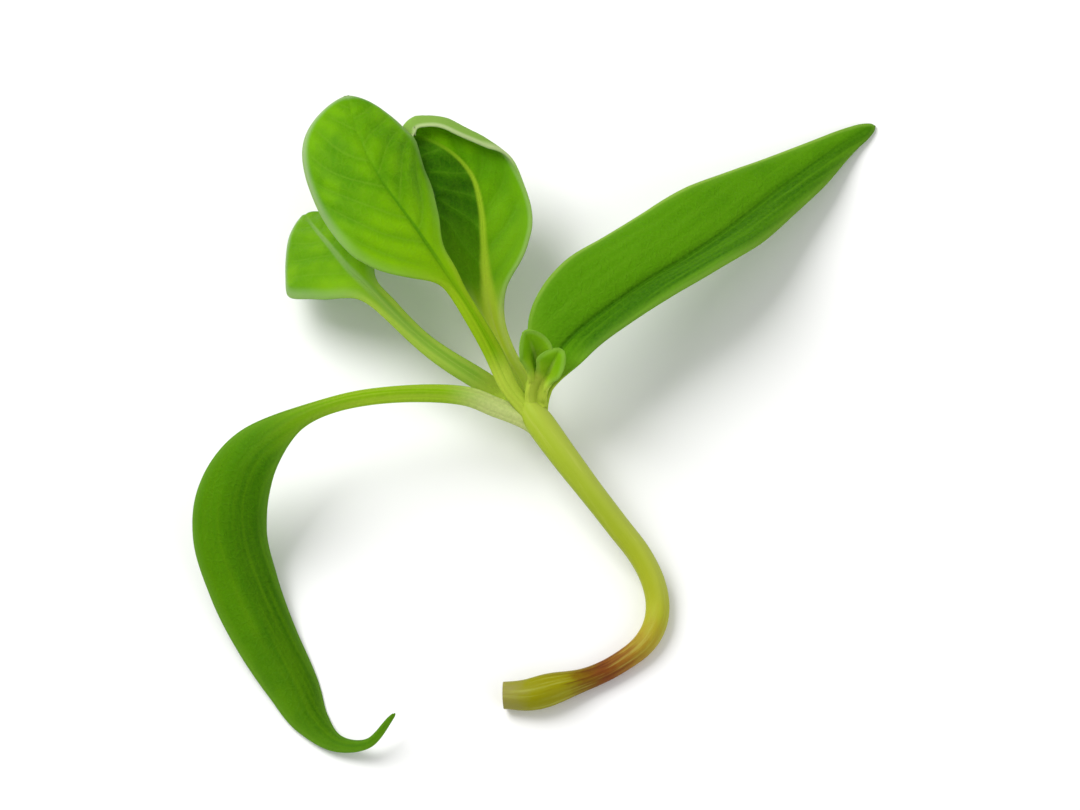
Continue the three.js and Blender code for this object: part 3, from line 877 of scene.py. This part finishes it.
def leafFinish(name, look):
    skin = leafSkin
    material, start = newFinish(name)
    along, across, out, edge, hem = readFacts(start, "along", "across", "out", "edge", "hem")
    stalk, share, phase, under = readFacts(start, "stalk", "share", "phase", "under")
    layer = under * skin["underShift"]
    where = place(start, along, across, layer)
    blade = 1 - stalk

    patches = noise(start, where, look["patchScale"]).between(*skin["patchEnds"])
    grain = noise(start, where, *skin["grainNoise"])
    lengthwise = [along * skin["streakStretch"], across * look["streakScale"]]
    lengthwise = place(start, *lengthwise, under * skin["streakShift"])
    streak = noise(start, lengthwise, *skin["streakNoise"])
    fromVein = start.maths("PINGPONG", phase, 0.5) * look["veinSpacing"]
    onBlade = blade * edge.between(*skin["veinFade"])
    veinEnds = [look["veinWidth"] * each for each in skin["veinEnds"]]
    vein = (1 - fromVein.between(*veinEnds)) * onBlade
    # painted shade in the furrows beside the sunken veins
    paintedFurrowShade = 1 - fromVein.between(0.0, look["veinSpacing"] * skin["paintedFurrowShadeWidth"])
    paintedFurrowShade = paintedFurrowShade * onBlade
    bent = noise(start, where, *skin["netNoise"]) * skin["netBend"]
    bentPlace = place(start, along + bent, across + bent, layer)
    cells = start.node(
        "ShaderNodeTexVoronoi",
        {"feature": "DISTANCE_TO_EDGE"},
        {"Vector": bentPlace, "Scale": look["netScale"]},
    )
    net = (1 - cells.between(*skin["netEnds"])) * onBlade
    nearBase = 1 - share.between(*skin["baseEnds"])
    ribWidth = look["ribWidth"] * (skin["ribTaper"] - share + look["ribFlare"] * nearBase)
    rib = 1 - (abs(across) / ribWidth).between(*skin["ribEnds"])
    rib = rib * ((1 - share.between(*look["ribEnds"])) * (1 - skin["ribOnStalk"] * stalk))
    # painted shade: one half of the blade is coloured darker, where it turns from the light or lies
    # in another leaf's shadow
    onRight = across.between(-look["paintedShadeSoftness"], look["paintedShadeSoftness"])
    paintedShade = (1 - onRight) * look["paintedShadeLeft"] + onRight * look["paintedShadeRight"]
    paintedShade = paintedShade * (look["paintedShadeLow"] + (1 - look["paintedShadeLow"]) * share.between(*skin["paintedShadeEnds"]))
    stalkPale = out.between(*skin["stalkRim"])
    stalkPale = stalkPale + (1 - out.between(*skin["stalkMiddle"])) * look["stalkLine"]
    stalkPale = stalkPale * (1 - skin["stalkStreakShare"])
    stalkPale = stalkPale + streak.between(*skin["stalkStreak"]) * skin["stalkStreakShare"]
    # painted highlight: a pale line along the margin where the rounded edge catches the light,
    # weaker on a margin in shade
    rim = (1 - edge.between(*skin["rimHighlightEnds"])) * blade
    rim = rim * (skin["rimHighlightPlain"] + (1 - skin["rimHighlightPlain"]) * hem) * (1 - onRight * look["rimHighlightFade"])

    warm = 1 - share.between(*look["warmEnds"])
    base = 1 - along.between(0.0, look["baseReach"])
    flecks = grain.between(*skin["fleckEnds"])
    streaks = streak.between(*skin["streakEnds"])
    shades = {shade: tint(value) for shade, value in look.items() if str(value).startswith("#")}
    plain = mixed(start, patches * look["patchShare"], shades["blade"], shades["deepPatchAndFurrowShade"])
    layers = [
        (warm * skin["warmShare"], shades["bladeWarm"]),
        (paintedShade * blade, shades["paintedShade"]),
        (streaks * look["streakShare"], shades["streak"]),
        (paintedFurrowShade * look["paintedFurrowShadeShare"], shades["deepPatchAndFurrowShade"]),
        (net * look["netShare"], shades["net"]),
        (vein * look["veinShare"], shades["vein"]),
        (under * look["underShare"], shades["under"]),
        (stalk, mixed(start, stalkPale, shades["stalk"], shades["stalkPale"])),
        (rib * look["ribShare"], mixed(start, nearBase, shades["rib"], shades["ribBase"])),
        (base * skin["baseShare"], shades["base"]),
        # the hem's pale tint: partly the turned margin's own paler tissue and down, partly painted
        # sheen
        (hem * look["hemTintAndSheenShare"], shades["hem"]),
        (rim * look["rimHighlightShare"], shades["rim"]),
        (flecks * look["fleckShare"], shades["fleck"]),
    ]
    colour = layered(start, plain, layers)

    bumps = skin["bumps"]
    roughness = look["roughness"] + skin["grainRoughness"] * grain
    roughness = roughness + skin["underRoughness"] * under
    height = bumps["papillae"] * noise(start, where, *skin["papillae"]) + bumps["net"] * net
    height = height + bumps["streak"] * streak * stalk + bumps["grain"] * grain
    tissue(start, colour, roughness, height, look)
    return material


leafLook = dict(
    blade="#78b600",
    # the deep shade serves the blade's random patches and also the painted shade in the furrows
    # beside the veins
    deepPatchAndFurrowShade="#4c8c00",
    bladeWarm="#90c800",
    warmEnds=(0.4, 0.72),  # shares of the length between which the warm shade fades
    patchScale=0.32,
    patchShare=0.7,
    # painted shade: the darker colour below is laid on the half of the blade that is turned from
    # the light
    paintedShade="#2f6a02",
    paintedShadeLeft=0.0,
    paintedShadeRight=0.15,
    paintedShadeLow=1.0,  # share of the painted shade that is left at the stalk end
    paintedShadeSoftness=0.5,  # mm on both sides of the midrib over which the painted shade of one half turns into that of the other
    streak="#76ad12",
    streakShare=0.2,
    streakScale=1.6,
    paintedFurrowShadeShare=0.4,
    net="#7fb41c",
    netScale=1.5,
    netShare=0.16,
    vein="#86b82a",
    veinShare=0.25,
    veinSpacing=2.6,
    veinWidth=0.12,
    # painted shade: the dark rib colour stands for the shade in the sunken midrib
    rib="#4c8c04",
    ribWidth=0.2,
    ribFlare=0.0,  # how much wider its band gets towards the stalk
    ribBase="#86b408",
    ribShare=0.75,
    ribEnds=(0.6, 0.85),
    under="#7da83a",
    underShare=0.6,
    stalk="#86b600",
    stalkPale="#a8cc1c",
    stalkLine=0.0,  # how pale the middle of the stalk is
    base="#d0e250",
    baseReach=2.5,
    # the hem shade is partly the turned margin's own paler tissue and down, and partly a painted
    # sheen where it catches the light
    hem="#a8c48a",
    hemTintAndSheenShare=0.85,
    # painted highlight: the rim shade below is a pale line where the rounded edge catches the light
    rim="#9fc070",
    rimHighlightShare=0.5,
    rimHighlightFade=0.0,  # share by which the painted rim highlight is weaker on the right margin, which lies in shade
    fleck="#84b826",
    fleckShare=0.14,
    roughness=0.42,
    grain=0.03,
    shine=0.08,
    down=0.03,  # the fine down that pales the skin where it turns away
    downShade="#e4f0d4",
    through=0.3,
    lightThrough="#8fc400",
)
leafLooks = dict(
    leafUpper=leafLook,
    leafCupped=dict(
        leafLook,
        blade="#70ae00",
        deepPatchAndFurrowShade="#4c8a00",
        bladeWarm="#78b002",
        # painted shadow of the upper leaf and the rolled lip on the left half, strongest away from
        # the stalk
        paintedShade="#1a4e00",
        paintedShadeLeft=0.95,
        paintedShadeRight=0.0,
        paintedShadeLow=0.55,
        paintedShadeSoftness=0.35,
        streakShare=0.1,
        netShare=0.06,
        veinShare=0.12,
        fleckShare=0.08,
        # the rib and stalk shades below are brighter than the stalk's own yellow-green: partly
        # painted light, set against the upper leaf's shadow on the stalk
        rib="#b0d42c",
        ribFlare=0.8,
        ribBase="#e0f048",
        ribWidth=0.55,
        ribShare=0.9,
        ribEnds=(0.62, 0.95),
        stalk="#d4ec28",
        stalkPale="#ecf88c",
        stalkLine=1.0,
        under="#94bc50",
        underShare=0.85,
        hem="#94bc54",
        # painted highlight along the margin and the edge of the rolled lip
        rim="#cfe2a0",
        rimHighlightShare=0.9,
    ),
    leafLower=dict(
        leafLook,
        blade="#7eb60a",
        deepPatchAndFurrowShade="#589600",
        rib="#93b568",
        ribBase="#a4c858",
        ribWidth=0.6,
        ribEnds=(0.8, 1.0),
        stalk="#80b010",
        stalkPale="#bcd84e",
        stalkLine=0.8,
    ),
    seedLeafLeft=dict(
        leafLook,
        blade="#548a00",
        deepPatchAndFurrowShade="#447a00",
        bladeWarm="#528a00",
        # painted shade on the half of the strap that is turned from the light
        paintedShade="#184800",
        paintedShadeLeft=0.6,
        paintedShadeRight=0.0,
        paintedShadeSoftness=1.2,
        streak="#629204",
        streakShare=0.5,
        streakScale=2.2,
        paintedFurrowShadeShare=0.0,
        net="#5a9410",
        netShare=0.08,
        vein="#5a9410",
        veinShare=0.1,
        veinSpacing=5.0,
        # painted shade: the dark rib colours stand for the shade in the strap's fold along the
        # midrib
        rib="#3c7402",
        ribBase="#5c9402",
        ribShare=0.35,
        ribWidth=0.3,
        ribEnds=(0.7, 0.9),
        stalk="#98c40a",
        stalkPale="#b6d638",
        stalkLine=1.0,
        base="#e8eca0",
        baseReach=4.5,
        hem="#6fa02c",
        rim="#7fae3c",
        fleck="#689a12",
        fleckShare=0.25,
        grain=0.05,
    ),
    seedLeafRight=dict(
        leafLook,
        blade="#589402",
        deepPatchAndFurrowShade="#498600",
        bladeWarm="#5a9602",
        # painted shade on the right half, past the crease, which is turned from the light
        paintedShade="#1e5400",
        paintedShadeRight=0.8,
        paintedShadeSoftness=0.7,
        streak="#66a010",
        streakShare=0.55,
        streakScale=2.0,
        paintedFurrowShadeShare=0.0,
        net="#62a014",
        netShare=0.08,
        vein="#62a014",
        veinShare=0.1,
        veinSpacing=5.0,
        # painted shade: the dark rib colours stand for the shade in the crease along the midrib
        rib="#2c6200",
        ribBase="#2c6200",
        ribShare=0.7,
        ribWidth=0.3,
        ribEnds=(0.8, 1.0),
        stalk="#66a008",
        stalkPale="#86b820",
        hem="#8cbc3c",
        # painted highlight on the left margin; the right margin, in shade, gets little of it
        rim="#c2e468",
        rimHighlightShare=1.0,
        rimHighlightFade=0.75,
        fleck="#72ac1c",
        fleckShare=0.28,
        grain=0.05,
    ),
)
youngLook = dict(
    leafLook,
    blade="#88c00c",
    deepPatchAndFurrowShade="#74b004",
    bladeWarm="#a4d020",
    vein="#9cc440",
    veinSpacing=1.0,
    veinWidth=0.08,
    rib="#9cc440",
    ribWidth=0.14,
    hem="#a5c850",
    hemTintAndSheenShare=0.4,
    baseReach=0.8,
    stalk="#b0d624",
    stalkPale="#c8e450",
)

stemLook = dict(
    stops=[  # shades along the stem, from the crown to the cut end
        (0.0, "#a8c034"),
        (0.1, "#a4ba30"),
        (0.3, "#a0b42c"),
        (0.45, "#a8b628"),
        (0.58, "#acb228"),
        (0.65, "#ac9a28"),
        (0.71, "#986a1c"),
        (0.77, "#7c4010"),
        (0.82, "#7c5a02"),
        (0.87, "#928c00"),
        (0.94, "#908f00"),
        (1.0, "#96904a"),
    ],
    wander=0.07,  # how far these shades stray along the stem
    mottle=(2.2, 3.0),  # a noise: its scale, its detail and its roughness
    mottleLength=0.5,  # the lower, the longer
    streak="#5e2c0c",
    streakShare=0.8,
    streakNoise=(1.6, 4.0, 0.6),
    streakRound=2.2,
    streakLength=0.12,
    streakEnds=(0.5, 0.66),
    reddish=[(0.64, 0.78), (0.82, 0.95)],  # where the reddish stretch begins and ends
    # the pale shade serves the stem's own paler streaks and also painted light on the side towards
    # the light
    paleStreakAndLitSide="#c4cc62",
    paintedLitSideShare=0.35,  # how much the upper left side, towards the light, is painted paler
    paintedLightHeading=(0.5, -0.85),  # where round the stem that side is
    paintedLightFade=(0.1, 1.0),
    paintedLightEnds=(0.5, 0.62),  # shares of the length between which it ends
    paleStreaks=0.3,
    paleStreakEnds=(0.32, 0.48),
    cut="#b4ac6c",
    cutDeep="#8c8a4c",
    cutNoise=(5.0, 3.0),
    cutEnds=(0.35, 0.65),
    fleckNoise=(3.0, 2.0),
    fleckRound=4,
    fleckLength=3,
    bumps=dict(streak=0.7, fleck=0.4),
    roughness=0.36,
    mottleRoughness=0.2,
    cutRoughness=0.2,
    grain=0.05,
    shine=0.16,
    down=0.03,
    downShade="#f0f0dc",
    through=0.1,
    lightThrough="#b4b400",
)


def stemFinish():
    look = stemLook
    material, start = newFinish("stem skin")
    names = ("share", "along", "roundX", "roundY", "cut")
    share, along, roundX, roundY, cut = readFacts(start, *names)

    def around(wide, long):  # a place on the stem, for a pattern that wide and that long
        return place(start, roundX * wide, roundY * wide, along * long)

    streak = noise(start, around(look["streakRound"], look["streakLength"]), *look["streakNoise"])
    mottle = noise(start, around(1.0, look["mottleLength"]), *look["mottle"])
    fleck = noise(start, around(look["fleckRound"], look["fleckLength"]), *look["fleckNoise"])
    rings = noise(start, place(start, roundX, roundY, cut), *look["cutNoise"])
    wander = share + look["wander"] * (mottle - 0.5)
    plain = start.node("ShaderNodeValToRGB", {"stops": look["stops"]}, {"Fac": wander})
    begins, ends = look["reddish"]
    reddish = share.between(*begins) * (1 - share.between(*ends))
    streaks = streak.between(*look["streakEnds"]) * reddish
    # painted light: the upper left side of the stem, towards the light, is paler over the part
    # nearest the crown
    headX, headY = look["paintedLightHeading"]
    paintedLitSide = (headX * roundX + headY * roundY).between(*look["paintedLightFade"])
    paintedLitSide = paintedLitSide * (1 - share.between(*look["paintedLightEnds"]))
    paleStreaks = 1 - streak.between(*look["paleStreakEnds"])
    grain = rings.between(*look["cutEnds"])
    layers = [
        (streaks * look["streakShare"], tint(look["streak"])),
        (paintedLitSide * look["paintedLitSideShare"], tint(look["paleStreakAndLitSide"])),
        (paleStreaks * look["paleStreaks"], tint(look["paleStreakAndLitSide"])),
        (cut, mixed(start, grain, tint(look["cut"]), tint(look["cutDeep"]))),
    ]
    roughness = look["roughness"] + look["mottleRoughness"] * mottle + look["cutRoughness"] * cut
    height = look["bumps"]["streak"] * streak + look["bumps"]["fleck"] * fleck
    tissue(start, layered(start, plain, layers), roughness, height, look)
    return material


# The scene round the shoot

studio = dict(
    elevation=70,  # degrees by which the camera looks down
    lens=180,
    margin=1.16,
    pictureWidth=1080,
    pictureHeight=810,
    sensor=36.0,
    clip=(0.01, 10),
    floorSize=1.6,
    floorShades=("#f4f4f2", "#fafafa"),
    floorCloud=(9.0, 3.0),
    sky=0.49,
)
lights = dict(
    window=dict(place=(-0.22, 0.16, 0.34), size=0.26, power=1.65),
    bounce=dict(place=(0.3, -0.22, 0.22), size=0.35, power=0.5),
)


def makeFloor():
    half = studio["floorSize"] / 2
    corners = [(-half, -half, 0), (half, -half, 0), (half, half, 0), (-half, half, 0)]
    mesh = bpy.data.meshes.new("table")
    mesh.from_pydata(corners, [], [(0, 1, 2, 3)])
    floor = bpy.data.objects.new("table", mesh)
    bpy.context.scene.collection.objects.link(floor)
    material, start = newFinish("matt white table")
    where = start.node("ShaderNodeTexCoord", {}, {}, output="Object")
    cloud = noise(start, where, *studio["floorCloud"])
    colour = mixed(start, cloud, *(tint(shade) for shade in studio["floorShades"]))
    surface = start.node("ShaderNodeBsdfPrincipled", {}, {"Base Color": colour, "Roughness": 0.7})
    start.node("ShaderNodeOutputMaterial", {}, {"Surface": surface})
    mesh.materials.append(material)
    floor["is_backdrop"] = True


def makeLights():
    for name, light in lights.items():
        lamp = bpy.data.lights.new(name, "AREA")
        lamp.size = light["size"]
        lamp.energy = light["power"]
        holder = bpy.data.objects.new(name, lamp)
        holder.location = light["place"]
        holder.rotation_euler = (-Vector(light["place"])).to_track_quat("-Z", "Y").to_euler()
        bpy.context.scene.collection.objects.link(holder)
    world = bpy.data.worlds.new("studio")
    world.use_nodes = True
    background = world.node_tree.nodes["Background"]
    background.inputs["Color"].default_value = (1, 1, 1, 1)
    background.inputs["Strength"].default_value = studio["sky"]
    bpy.context.scene.world = world
    bpy.context.scene.view_settings.view_transform = "Standard"  # keeps the greens strong


def makeCamera():
    low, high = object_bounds()
    centre = (low + high) / 2
    turn = math.radians(studio["elevation"])
    back = Vector((0, -math.cos(turn), math.sin(turn)))
    height = (high.y - low.y) * math.sin(turn) + (high.z - low.z) * math.cos(turn)
    pictureShare = studio["pictureHeight"] / studio["pictureWidth"]
    halfAngle = math.atan(studio["sensor"] / 2 / studio["lens"] * pictureShare)
    camera = bpy.data.objects.new("camera", bpy.data.cameras.new("camera"))
    camera.data.lens = studio["lens"]
    camera.data.sensor_width = studio["sensor"]
    camera.data.clip_start, camera.data.clip_end = studio["clip"]
    camera.location = centre + back * (height / 2 * studio["margin"] / math.tan(halfAngle))
    camera.rotation_euler = (-back).to_track_quat("-Z", "Y").to_euler()
    bpy.context.scene.collection.objects.link(camera)
    bpy.context.scene.camera = camera


for name, leaf in leaves.items():
    finish = leafFinish(name + " skin", leafLooks[name])
    makePiece(name, *leafMesh(leaf), finish, leaf["node"], leaf["slot"])
young = joined([leafMesh(leaf) for leaf in youngLeaves])
finish = leafFinish("young leaf skin", youngLook)
makePiece("youngLeaves", *young, finish, "young_leaves", "young_leaf")
makePiece("stemWithCrown", *stemMesh(), stemFinish(), "stem", "stem")
makeFloor()
makeLights()
makeCamera()
print("lit and framed")
